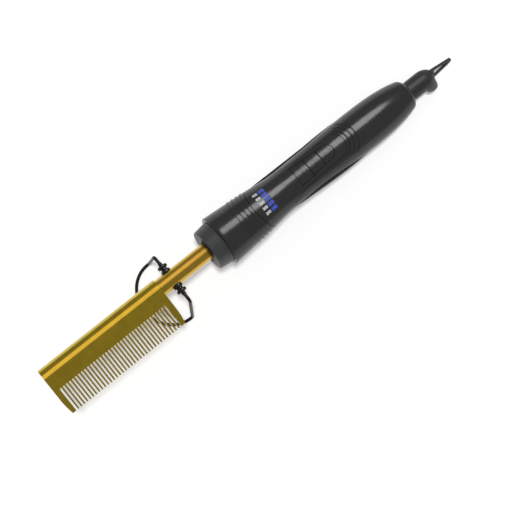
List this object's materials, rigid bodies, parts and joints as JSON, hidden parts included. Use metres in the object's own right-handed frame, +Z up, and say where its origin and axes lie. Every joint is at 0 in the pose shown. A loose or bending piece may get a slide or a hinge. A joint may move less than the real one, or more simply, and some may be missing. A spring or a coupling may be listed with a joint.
{
  "type": "hot comb",
  "caption": "Electric hot comb: gold heated comb on a tubular stem, fold-out wire stand, flared black handle with keypad and indicators, swivelling cord outlet and hanging loop.",
  "frame": {"origin": "centre of the bounding box on the table that the tool stands on", "axes": "+X from the tail to the tip of the comb, along the table; +Y the way the teeth point; +Z up, out of the buttons. The tool itself is tilted 6.50 degrees front up about Y, because it stands on its wire stand and the rear of its handle."},
  "size_m": [0.3073, 0.0465, 0.0477],
  "materials": {
    "gold_comb": "gold plated, polished",
    "gold_stem": "gold plated tube, polished",
    "gloss_black": "moulded glossy black",
    "nose_grey": "moulded heat-resistant grey, satin",
    "tail_grey": "moulded black, satin",
    "soft_black": "soft-touch black",
    "black_wire": "black oxide wire",
    "window_blue": "translucent blue, moulded",
    "steel": "bright zinc plated",
    "spreader": "machined",
    "ceramic": null,
    "nylon": "natural",
    "wire_sleeve": "silicone insulation",
    "board": "green laminate",
    "chip_black": "moulded epoxy",
    "brass": "turned"
  },
  "bodies": {
    "handle": {"comb_blade": "gold_comb", "spine_end_plug": "gold_stem", "heat_spreader_upper": "spreader", "heat_spreader_lower": "spreader", "heater_plate": "ceramic", "temperature_sensor": "ceramic", "heater_leads": "wire_sleeve", "sensor_leads": "wire_sleeve", "stem_tube": "gold_stem", "stem_ring": "steel", "pivot_bush_left": "soft_black", "pivot_bush_right": "soft_black", "stem_seal": "soft_black", "nose_collar": "nose_grey", "front_sleeve": "gloss_black", "stem_clamp_upper": "nylon", "stem_clamp_lower": "nylon", "clamp_screws": "steel", "upper_shell": "gloss_black", "lower_shell": "gloss_black", "grip_left": "soft_black", "grip_right": "soft_black", "control_cover": "gloss_black", "indicator_windows": "window_blue", "indicator_leds": "ceramic", "circuit_board": "board", "switch_housings": "chip_black", "microcontroller": "chip_black", "power_triac": "chip_black", "smoothing_capacitor": "chip_black", "fuse": "ceramic", "terminal_blocks": "board", "board_screws": "steel", "supply_leads": "wire_sleeve", "contact_block": "chip_black", "brush_contacts": "brass", "swivel_bush": "nylon", "shell_screws": "steel"},
    "stand": {"stand_wire": "black_wire"},
    "minus_key": {"minus_button": "gloss_black", "minus_plunger": "nylon"},
    "plus_key": {"plus_button": "gloss_black", "plus_plunger": "nylon"},
    "power_key": {"power_button": "gloss_black", "power_plunger": "nylon"},
    "tail": {"slip_rings": "brass", "swivel_retainer": "steel", "tail_swivel": "tail_grey", "cord_grommet": "soft_black", "hanging_loop": "tail_grey"}
  },
  "joints": [
    {"name": "stand_swing", "type": "hinge", "parent": "handle", "child": "stand", "pos_m": [0.06211, -0.00155, 0.03123], "axis": [0, 1, 0], "range_deg": [0, 83]},
    {"name": "minus_press", "type": "slide", "parent": "handle", "child": "minus_key", "axis": [0.1132, 0, -0.9936], "range_m": [0, 0.0006], "stiffness_N_per_m": 2000},
    {"name": "plus_press", "type": "slide", "parent": "handle", "child": "plus_key", "axis": [0.1132, 0, -0.9936], "range_m": [0, 0.0006], "stiffness_N_per_m": 2000},
    {"name": "power_press", "type": "slide", "parent": "handle", "child": "power_key", "axis": [0.1132, 0, -0.9936], "range_m": [0, 0.0006], "stiffness_N_per_m": 2000},
    {"name": "tail_turn", "type": "hinge", "parent": "handle", "child": "tail", "pos_m": [-0.10867, -0.00155, 0.01177], "axis": [0.9936, 0, 0.1132], "continuous": true}
  ]
}
